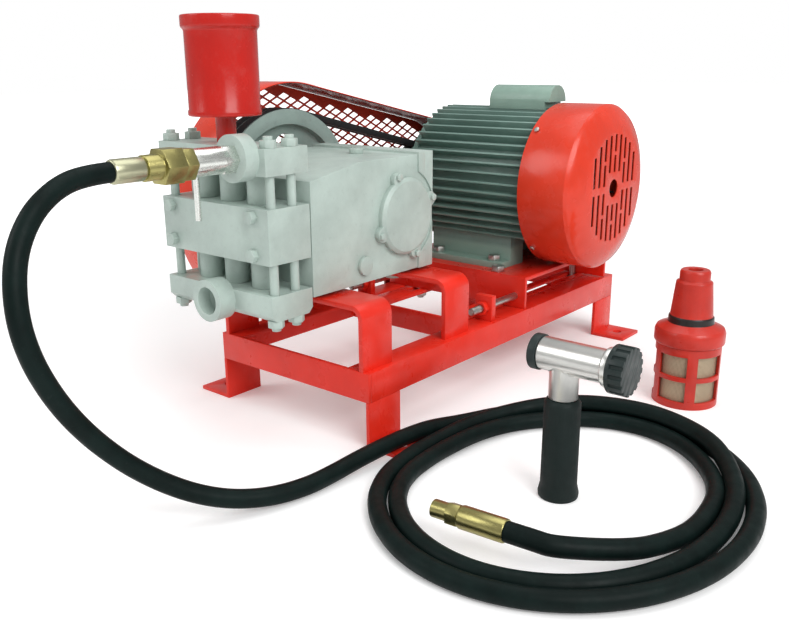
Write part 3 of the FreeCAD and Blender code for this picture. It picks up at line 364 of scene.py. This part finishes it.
def gloss_paint(name, colour, roughness=0.30, edge_wear_and_highlight=0.18, under=(0.16, 0.03, 0.02), dust=0.05,
                guard_shade_colour=None):
    """Sprayed gloss paint: orange peel, thin edges, a little dust and, when a colour is given,
    painted shade on the belt guard's inward faces.
    """
    f = Finish(name, roughness=roughness, specular=0.32, coat=0.10)
    cloud = f.ranged(f.noise(14, 5), 0.0, 1.0, 0.35, 0.65)
    body = f.mixed(cloud, shade(colour, 0.90), shade(colour, 1.06))
    dusty = f.maths("MULTIPLY", f.ranged(f.noise(55, 6, 0.7), 0.0, 1.0, 0.52, 0.75), dust)
    body = f.mixed(dusty, body, (0.45, 0.40, 0.37))
    chips = f.ranged(f.noise(210, 5, 0.7), 0.0, 1.0, 0.50, 0.62)
    wear = f.maths("MULTIPLY", f.maths("MULTIPLY", f.edges(), chips), edge_wear_and_highlight)
    body = f.mixed(wear, body, under)
    # Painted shade: the guard's faces that look in at the belts are drawn dark red in place of
    # the paint
    if guard_shade_colour:
        body = f.mixed(f.guard_shade_faces(), body, guard_shade_colour)
    f.colour(body)
    f.roughness(f.ranged(f.noise(30, 4), roughness - 0.07, roughness + 0.10))
    f.bump(f.noise(520, 2), 0.22, 0.0003)
    f.bump(f.noise(90, 3), 0.18, 0.0008)
    return f.material


def cast_paint(name, colour, roughness=0.42, grain=0.5, dirt=0.25, band=None):
    """Paint over a sand casting: pitted grain, soft mottling and random dark spots of grime."""
    f = Finish(name, roughness=roughness, specular=0.45, coat=0.12)
    cloud = f.ranged(f.noise(18, 6, 0.6), 0.0, 1.0, 0.36, 0.64)
    body = f.mixed(cloud, shade(colour, 0.88), shade(colour, 1.08))
    spots = f.maths("MULTIPLY", f.ranged(f.noise(140, 5, 0.7), 0.0, 1.0, 0.58, 0.72), dirt)
    body = f.mixed(spots, body, shade(colour, 0.45))
    if band:
        low, high, other = band
        body = f.mixed(f.height(low, high, 0.006), body, other)
    # Painted highlight: edges and fin tips are drawn 30% lighter in the paint's own colour
    edge_wear_and_highlight = f.maths("MULTIPLY", f.edges(0.0015), 0.30)
    f.colour(f.mixed(edge_wear_and_highlight, body, shade(colour, 1.30)))
    f.roughness(f.ranged(f.noise(60, 4), roughness - 0.08, roughness + 0.12))
    f.bump(f.noise(420, 4, 0.65), grain, 0.0006)
    f.bump(f.noise(60, 3), grain * 0.5, 0.0016)
    return f.material


def machined(name, colour, roughness=0.28, streak=(1, 1, 1), wear=0.0, relief=0.10,
             cloudy=0.78):
    """Bare or plated metal with tool lines along one way and light tarnish."""
    f = Finish(name, metallic=1.0, roughness=roughness)
    cloud = f.ranged(f.noise(35, 5, 0.6), 0.0, 1.0, 0.34, 0.66)
    body = f.mixed(cloud, shade(colour, cloudy), shade(colour, 1.06))
    if wear:
        spots = f.maths("MULTIPLY", f.ranged(f.noise(160, 6, 0.7), 0.0, 1.0, 0.5, 0.7), wear)
        body = f.mixed(spots, body, shade(colour, 0.35))
    f.colour(body)
    lines = f.noise(160, 3, 0.6, f.mapped(streak))
    f.roughness(f.ranged(lines, roughness - relief * 0.6, roughness + relief))
    f.bump(lines, relief, 0.0004)
    return f.material


def moulded(name, colour, roughness=0.45, grain=0.25, coat=0.0, specular=0.45, band=None):
    """Moulded plastic: fine spark texture and faint flow marks."""
    f = Finish(name, roughness=roughness, specular=specular, coat=coat)
    cloud = f.ranged(f.noise(22, 4), 0.0, 1.0, 0.36, 0.64)
    body = f.mixed(cloud, shade(colour, 0.86), shade(colour, 1.12))
    scuff = f.maths("MULTIPLY", f.edges(0.001), 0.15)
    body = f.mixed(scuff, body, tuple(c * 0.8 + 0.06 for c in colour))
    if band:
        low, high, other = band
        body = f.mixed(f.height(low, high), body, other)
    f.colour(body)
    f.roughness(f.ranged(f.noise(75, 4), roughness - 0.08, roughness + 0.12))
    f.bump(f.noise(900, 2), grain, 0.0002)
    f.bump(f.noise(38, 3), grain * 0.6, 0.0008)
    return f.material


def hose_cover(name, colour):
    """Smooth dull rubber with soft mottling and handling marks."""
    f = Finish(name, roughness=0.46, specular=0.10)
    cloud = f.ranged(f.noise(26, 6, 0.65), 0.0, 1.0, 0.38, 0.62)
    body = f.mixed(cloud, shade(colour, 0.75), shade(colour, 1.25))
    scuffs = f.ranged(f.noise(120, 7, 0.75), 0.0, 0.10, 0.60, 0.72)
    f.colour(f.mixed(scuffs, body, (0.06, 0.07, 0.065)))
    f.roughness(f.ranged(f.noise(70, 4), 0.38, 0.58))
    f.bump(f.noise(1400, 2), 0.25, 0.0002)
    f.bump(f.noise(150, 3), 0.18, 0.0006)
    return f.material


def gauze(name, colour, centre, radius):
    """Woven wire on a round wall: wires round it and up it."""
    f = Finish(name, metallic=0.55, roughness=0.42)
    parts = f.tree.nodes.new("ShaderNodeSeparateXYZ")
    f.link(f.mapped(shift=(-centre[0], -centre[1], 0)), parts.inputs["Vector"])
    angle = f.maths("ARCTAN2", parts.outputs["Y"], parts.outputs["X"])
    around = f.maths("SINE", f.maths("MULTIPLY", angle, radius * 2 * pi / GAUZE_PITCH))
    up = f.maths("SINE", f.maths("MULTIPLY", parts.outputs["Z"], 2 * pi / GAUZE_PITCH))
    weave = f.maths("MAXIMUM", around, up)
    wires = f.ranged(weave, 0.0, 1.0, -0.2, 0.8)
    stain = f.ranged(f.noise(60, 5), 0.75, 1.15)
    body = f.mixed(wires, shade(colour, 0.35), colour)
    body = f.mixed(f.maths("SUBTRACT", 1.15, stain), body, shade(colour, 0.6))
    f.colour(body)
    f.bump(weave, 0.6, 0.0004)
    return f.material


MATERIALS = {}


def make_materials():
    p = paint()
    MATERIALS.update({
        "frame_red": gloss_paint("frame_red_paint", tuple(p.frame_red)),
        # The cover paint also carries painted shade, a dark red, on the inner faces of the belt
        # guard
        "cover_red": gloss_paint("cover_red_paint", tuple(p.cover_red), 0.24, 0.10,
                                 guard_shade_colour=(0.15, 0.012, 0.008)),
        "mesh_red": gloss_paint("mesh_red_paint", shade(tuple(p.cover_red), 0.9), 0.38, 0.5),
        "chamber_red": gloss_paint("chamber_red_paint", tuple(p.chamber_red), 0.22, 0.2),
        "pump_grey": cast_paint("pump_grey_paint", tuple(p.pump_grey), 0.38, 0.45, 0.2),
        "box_grey": cast_paint("box_grey_paint", tuple(p.box_grey), 0.40, 0.15, 0.1),
        "motor_green": cast_paint("motor_green_paint", tuple(p.motor_green), 0.42, 0.55, 0.3,
                                  (*MOTOR_FOOT_HEIGHTS, shade(tuple(p.box_grey), 0.95))),
        "zinc_steel": machined("zinc_fastener", (0.55, 0.56, 0.53), 0.34, (1, 1, 6), 0.35),
        "bright_steel": machined("ground_steel", (0.62, 0.63, 0.62), 0.25, (12, 1, 1), 0.1),
        "pulley_iron": cast_paint("pulley_paint", (0.27, 0.35, 0.32), 0.40, 0.35, 0.3),
        "valve_chrome": machined("plated_valve", (0.76, 0.78, 0.74), 0.26, (8, 1, 8), 0.0, 0.03,
                                 0.92),
        "gun_chrome": machined("satin_plate", (0.75, 0.75, 0.72), 0.30, (1, 8, 8), 0.0, 0.03,
                               0.93),
        "brass": machined("turned_brass", tuple(p.brass), 0.30, (2, 10, 2), 0.12, 0.06, 0.85),
        "ferrule": machined("plated_ferrule", (0.50, 0.50, 0.34), 0.32, (2, 10, 2), 0.05, 0.05,
                            0.9),
        "belt_rubber": moulded("belt_cover", (0.016, 0.016, 0.017), 0.62, 0.5),
        "packing_rubber": moulded("packing_ring", (0.03, 0.03, 0.03), 0.5, 0.2),
        "grip_rubber": moulded("grip_rubber_cover", (0.006, 0.013, 0.012), 0.58, 0.6,
                               specular=0.25),
        "black_plastic": moulded("black_knob_plastic", (0.014, 0.024, 0.023), 0.42, 0.3,
                                 specular=0.35),
        "hose_rubber": hose_cover("hose_rubber_cover", tuple(p.hose_black)),
        "strainer_plastic": moulded("strainer_red_plastic", tuple(p.strainer_red), 0.34, 0.12,
                                    0.15, 0.35,
                                    (*STRAINER_COLLAR_HEIGHTS, (0.012, 0.011, 0.010))),
        "strainer_gauze": gauze("woven_gauze", (0.62, 0.50, 0.34), STRAINER_MIDDLE, GAUZE_RADIUS),
    })


# Stage

class FIREPUMP_OT_stage(bpy.types.Operator):
    """Sets the camera, the soft studio lights, the floor and the backdrop"""
    bl_idname = "fire_pump.stage"
    bl_label = "Stage"

    def execute(self, context):
        settings = context.scene.fire_pump_stage
        self.set_camera(context, settings)
        self.lay_floor(context, settings)
        for name, stand, size, power in LIGHTS:
            self.light(name, stand, size, power)
        self.light_world(context)
        context.scene.view_settings.view_transform = "Standard"
        return {"FINISHED"}

    def set_camera(self, context, settings):
        camera = bpy.data.objects.new("camera", bpy.data.cameras.new("camera"))
        context.scene.collection.objects.link(camera)
        camera.data.lens = settings.lens
        camera.data.sensor_width = FILM_WIDTH
        camera.data.clip_end = VIEW_DEPTH
        camera.location = settings.place
        turn = Matrix.Rotation(settings.turn, 3, "Z")
        tilt = Matrix.Rotation(pi / 2 - settings.tilt, 3, "X")
        roll = Matrix.Rotation(settings.roll, 3, "Z")
        camera.rotation_euler = (turn @ tilt @ roll).to_euler()
        context.scene.camera = camera

    def lay_floor(self, context, settings):
        deselect()
        bpy.ops.mesh.primitive_plane_add(size=FLOOR_SIZE, location=FLOOR_MIDDLE)
        floor = context.object
        floor.name = "floor"
        settle(floor)
        dress(floor, self.floor_material(tuple(settings.floor)))

    def light_world(self, context):
        """Plain soft light on the object, and white behind it for the camera."""
        world = bpy.data.worlds.new("studio")
        context.scene.world = world
        world.use_nodes = True
        nodes, links = world.node_tree.nodes, world.node_tree.links
        nodes.clear()
        output = nodes.new("ShaderNodeOutputWorld")
        path = nodes.new("ShaderNodeLightPath")
        mix = nodes.new("ShaderNodeMixShader")
        links.new(path.outputs["Is Camera Ray"], mix.inputs[0])
        for socket, strength in ((mix.inputs[1], WORLD_LIGHT), (mix.inputs[2], WORLD_SHOWN)):
            background = nodes.new("ShaderNodeBackground")
            background.inputs["Color"].default_value = (1, 1, 1, 1)
            background.inputs["Strength"].default_value = strength
            links.new(background.outputs[0], socket)
        links.new(mix.outputs[0], output.inputs["Surface"])

    def floor_material(self, colour):
        """A pale floor that stays white to the camera far from the object."""
        f = Finish("pale_floor", roughness=0.9, specular=0.1)
        f.colour(f.mixed(f.ranged(f.noise(3, 3), 0.0, 1.0), shade(colour, 0.99), colour))
        reach = f.tree.nodes.new("ShaderNodeVectorMath")
        reach.operation = "LENGTH"
        f.link(f.coords, reach.inputs[0])
        far = f.ranged(reach.outputs["Value"], *FLOOR_GLOW, *FLOOR_GLOW_REACH)
        path = f.tree.nodes.new("ShaderNodeLightPath")
        glow = f.tree.nodes.new("ShaderNodeEmission")
        f.link(f.maths("MULTIPLY", far, path.outputs["Is Camera Ray"]), glow.inputs["Strength"])
        both = f.tree.nodes.new("ShaderNodeAddShader")
        f.link(f.shader.outputs[0], both.inputs[0])
        f.link(glow.outputs[0], both.inputs[1])
        f.link(both.outputs[0], f.tree.nodes["Material Output"].inputs["Surface"])
        return f.material

    def light(self, name, stand, size, power):
        lamp = bpy.data.lights.new(name, "AREA")
        lamp.size = size
        lamp.energy = power
        holder = bpy.data.objects.new(name, lamp)
        bpy.context.scene.collection.objects.link(holder)
        holder.location = stand
        aim = Vector(LIGHT_AIM) - Vector(stand)
        holder.rotation_euler = aim.to_track_quat("-Z", "Y").to_euler()


# Hose

# Centreline from the ferrule down to the floor and round to the coil
HOSE_ROUTE = [
    (0.025, -0.529, 0.327), (0.025, -0.557, 0.3266), (0.0285, -0.586, 0.3182),
    (0.0356, -0.614, 0.2997), (0.0453, -0.636, 0.269), (0.0547, -0.645, 0.227),
    (0.0599, -0.641, 0.189), (0.0627, -0.6275, 0.1525), (0.0652, -0.6105, 0.1215),
    (0.0694, -0.591, 0.094), (0.0778, -0.568, 0.0673), (0.0914, -0.5415, 0.0438),
    (0.107, -0.516, 0.0276), (0.123, -0.4885, 0.0172), (0.1374, -0.456, 0.0118),
    (0.1464, -0.419, 0.0102), (0.149, -0.385, 0.0112), (0.151, -0.346, 0.0142),
    (0.1545, -0.303, 0.0164), (0.1575, -0.268, 0.0166), (0.1620, -0.232, 0.0150),
]
COIL_CENTRE = (0.345, -0.252)
COIL_REACH = (0.178, 0.204)
COIL_STEP = 15  # degrees
CURVE_SWELL = 1.006  # the curve runs a little inside its points
MM_PER_M = 1000
HOSE_CURVE_STEPS = 6  # rings between two points
HOSE_ROUND_STEPS = 5  # finer steps round the hose
# Angle in degrees, then in millimetres the distance in from the outermost loop and the
# height of the centreline
COIL_STATIONS = [
    (162, 0, 9.8), (140, 0, 9.8), (90, 0, 9.8), (0, 0, 9.8), (-90, 0, 9.8), (-140, 1, 9.8),
    (-180, 16, 10), (-215, 14, 17), (-240, 11, 25), (-270, 10, 26.5), (-300, 12, 25),
    (-330, 18, 15), (-360, 23, 10), (-450, 20, 9.8), (-500, 21, 9.8), (-540, 36, 10),
    (-580, 30, 9.8), (-630, 20, 9.8), (-680, 33, 9.8), (-720, 44, 10), (-745, 46, 17),
    (-765, 46, 26),
]
# From the innermost loop, raised clear of the floor, into the end fitting
HOSE_END = [(0.411, -0.3875, 0.0290), (0.393, -0.3902, 0.0299), (0.379, -0.3919, 0.0301),
            (0.367, -0.3930, 0.0301)]


def coil_points():
    """Loops that run clockwise from above, from the left side inwards."""
    points = []
    angle = COIL_STATIONS[0][0]
    while angle >= COIL_STATIONS[-1][0]:
        for (a, inset_a, up_a), (b, inset_b, up_b) in zip(COIL_STATIONS, COIL_STATIONS[1:]):
            if b <= angle <= a:
                t = (a - angle) / (a - b)
                t = t * t * (3 - 2 * t)
                inset = (inset_a + (inset_b - inset_a) * t) / MM_PER_M
                up = (up_a + (up_b - up_a) * t) / MM_PER_M
                break
        turn = radians(angle)
        points.append((COIL_CENTRE[0] + (COIL_REACH[0] - inset) * CURVE_SWELL * cos(turn),
                       COIL_CENTRE[1] + (COIL_REACH[1] - inset) * CURVE_SWELL * sin(turn),
                       up))
        angle -= COIL_STEP
    return points


class FIREPUMP_OT_hose(bpy.types.Operator):
    """Makes the discharge hose, from its ferrule through the floor coil to the end fitting"""
    bl_idname = "fire_pump.hose"
    bl_label = "Hose"

    def execute(self, context):
        points = HOSE_ROUTE + coil_points() + HOSE_END
        curve = bpy.data.curves.new("hose", "CURVE")
        curve.dimensions = "3D"
        spline = curve.splines.new("NURBS")
        spline.points.add(len(points) - 1)
        for point, co in zip(spline.points, points):
            point.co = (*co, 1.0)
        spline.order_u = 3
        spline.use_endpoint_u = True
        spline.resolution_u = HOSE_CURVE_STEPS
        curve.bevel_depth = sizes().hose_width / 2
        curve.bevel_resolution = HOSE_ROUND_STEPS
        curve.use_fill_caps = True
        hose = bpy.data.objects.new("hose", curve)
        context.scene.collection.objects.link(hose)
        place(hose, "frame", "hose_rubber", MATERIALS["hose_rubber"])
        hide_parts("hose_run", "hose_coil")
        ferrule = finish_node("hose_ferrule", MATERIALS["ferrule"], TURNED_EDGE)
        fitting = finish_node("hose_end_fitting", MATERIALS["brass"], TURNED_EDGE)
        return {"FINISHED"}


# Groups of parts

def finish_group(nodes, finish, edge, segments=2):
    return [finish_node(node, MATERIALS[finish], edge, segments) for node in nodes]


class FIREPUMP_OT_frame(bpy.types.Operator):
    """Paints and rounds the welded frame, its feet, brackets and tensioners"""
    bl_idname = "fire_pump.frame"
    bl_label = "Frame"

    def execute(self, context):
        edge = sizes().edge
        finish_group(["side_rails", "crossbars", "legs", "pump_brackets", "slide_bars",
                      "tension_lugs", "motor_base"], "frame_red", edge)
        finish_group(["tension_screws", "motor_bolts"], "zinc_steel", SCREW_EDGE)
        return {"FINISHED"}


class FIREPUMP_OT_pump(bpy.types.Operator):
    """Finishes the crankcase, its covers and everything inside it"""
    bl_idname = "fire_pump.pump"
    bl_label = "Pump"

    def execute(self, context):
        cast = sizes().cast_edge
        finish_group(["crankcase"], "pump_grey", cast * CASE_EDGE_SHARE, ROUND_SEGMENTS)
        finish_group(["rear_cover", "bearing_covers"], "pump_grey", cast * COVER_EDGE_SHARE)
        finish_group(["pump_bolts", "oil_filler_cap"], "pump_grey", TURNED_EDGE)
        finish_group(["crankshaft", "connecting_rod_1", "connecting_rod_2", "connecting_rod_3",
                      "plunger_1", "plunger_2", "plunger_3", "crank_bearings"],
                     "bright_steel", TURNED_EDGE)
        finish_group(["plunger_packing"], "packing_rubber", SHAFT_EDGE)
        return {"FINISHED"}


class FIREPUMP_OT_fluid_end(bpy.types.Operator):
    """Finishes the cylinder block, manifolds, valves and air chamber"""
    bl_idname = "fire_pump.fluid_end"
    bl_label = "Fluid end"

    def execute(self, context):
        cast = sizes().cast_edge
        finish_group(["cylinder_block", "discharge_manifold", "suction_manifold"],
                     "pump_grey", cast, ROUND_SEGMENTS)
        finish_group(["valve_cages"], "pump_grey", cast * CAGE_EDGE_SHARE)
        finish_group(["stay_studs"], "pump_grey", TURNED_EDGE)
        finish_group(["suction_valve_discs", "discharge_valve_discs"], "bright_steel",
                     SPRING_EDGE)
        for line in ("suction", "discharge"):
            spring, = finish_group([line + "_springs"], "bright_steel", SPRING_EDGE)
            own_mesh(spring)
        finish_group(["air_chamber"], "chamber_red", CHAMBER_EDGE, ROUND_SEGMENTS)
        finish_group(["outlet_valve_body", "outlet_valve_lever"], "valve_chrome", VALVE_EDGE)
        finish_group(["outlet_fittings"], "brass", VALVE_EDGE)
        return {"FINISHED"}


class FIREPUMP_OT_drive(bpy.types.Operator):
    """Finishes the pulleys, belts and belt guard"""
    bl_idname = "fire_pump.drive"
    bl_label = "Belt drive"

    def execute(self, context):
        finish_group(["pump_pulley", "motor_pulley"], "pulley_iron", PULLEY_EDGE)
        finish_group(["v_belts"], "belt_rubber", TURNED_EDGE)
        finish_group(["belt_guard_band"], "cover_red", TURNED_EDGE)
        # The mesh is shown as the part has it, only painted
        dress(frame["nodes"]["belt_guard_mesh"], MATERIALS["mesh_red"])
        return {"FINISHED"}


class FIREPUMP_OT_motor(bpy.types.Operator):
    """Finishes the finned motor, its end shields, rotor, fan cover and capacitor box"""
    bl_idname = "fire_pump.motor"
    bl_label = "Motor"

    def execute(self, context):
        finish_group(["motor_frame", "motor_end_shields"], "motor_green", PULLEY_EDGE)
        finish_group(["fan_cover"], "cover_red", MOULDED_EDGE, ROUND_SEGMENTS)
        finish_group(["terminal_box"], "box_grey", BOX_EDGE, ROUND_SEGMENTS)
        finish_group(["stator", "rotor_shaft", "motor_bearings"], "bright_steel", SHAFT_EDGE)
        finish_group(["cooling_fan"], "black_plastic", SHAFT_EDGE)
        return {"FINISHED"}


class FIREPUMP_OT_gun(bpy.types.Operator):
    """Finishes the spray gun"""
    bl_idname = "fire_pump.gun"
    bl_label = "Spray gun"

    def execute(self, context):
        finish_group(["gun_body"], "gun_chrome", CHAMBER_EDGE, ROUND_SEGMENTS)
        finish_group(["gun_grip"], "grip_rubber", GRIP_EDGE, ROUND_SEGMENTS)
        finish_group(["gun_nozzle_cap", "gun_knob"], "black_plastic", MOULDED_EDGE)
        return {"FINISHED"}


class FIREPUMP_OT_strainer(bpy.types.Operator):
    """Finishes the suction strainer"""
    bl_idname = "fire_pump.strainer"
    bl_label = "Suction strainer"

    def execute(self, context):
        finish_group(["strainer_head", "strainer_cage"], "strainer_plastic", MOULDED_EDGE,
                     ROUND_SEGMENTS)
        finish_group(["strainer_mesh"], "strainer_gauze", 0.0)
        return {"FINISHED"}


class FIREPUMP_PT_panel(bpy.types.Panel):
    """Shows the paint, size and stage settings and a button for each finishing step"""
    bl_idname = "FIREPUMP_PT_panel"
    bl_label = "Fire pump"
    bl_space_type = "VIEW_3D"
    bl_region_type = "UI"
    bl_category = "Fire pump"

    def draw(self, context):
        for settings in (context.scene.fire_pump_paint, context.scene.fire_pump_sizes,
                         context.scene.fire_pump_stage):
            for name in settings.__annotations__:
                self.layout.prop(settings, name)
        for operator in OPERATORS:
            self.layout.operator(operator.bl_idname)


OPERATORS = (FIREPUMP_OT_stage, FIREPUMP_OT_hose, FIREPUMP_OT_frame, FIREPUMP_OT_pump,
             FIREPUMP_OT_fluid_end, FIREPUMP_OT_drive, FIREPUMP_OT_motor, FIREPUMP_OT_gun,
             FIREPUMP_OT_strainer)
GROUPS = (("fire_pump_paint", FIREPUMP_PG_paint), ("fire_pump_sizes", FIREPUMP_PG_sizes),
          ("fire_pump_stage", FIREPUMP_PG_stage))


def register():
    for name, group in GROUPS:
        bpy.utils.register_class(group)
        setattr(bpy.types.Scene, name, bpy.props.PointerProperty(type=group))
    for operator in OPERATORS:
        bpy.utils.register_class(operator)
    bpy.utils.register_class(FIREPUMP_PT_panel)


def unregister():
    bpy.utils.unregister_class(FIREPUMP_PT_panel)
    for operator in reversed(OPERATORS):
        bpy.utils.unregister_class(operator)
    for name, group in reversed(GROUPS):
        delattr(bpy.types.Scene, name)
        bpy.utils.unregister_class(group)


def main():
    register()
    make_materials()
    bpy.ops.fire_pump.stage()
    bpy.ops.fire_pump.hose()
    bpy.ops.fire_pump.frame()
    bpy.ops.fire_pump.pump()
    bpy.ops.fire_pump.fluid_end()
    bpy.ops.fire_pump.drive()
    bpy.ops.fire_pump.motor()
    bpy.ops.fire_pump.gun()
    bpy.ops.fire_pump.strainer()
    deselect()


if __name__ == "__main__":
    main()
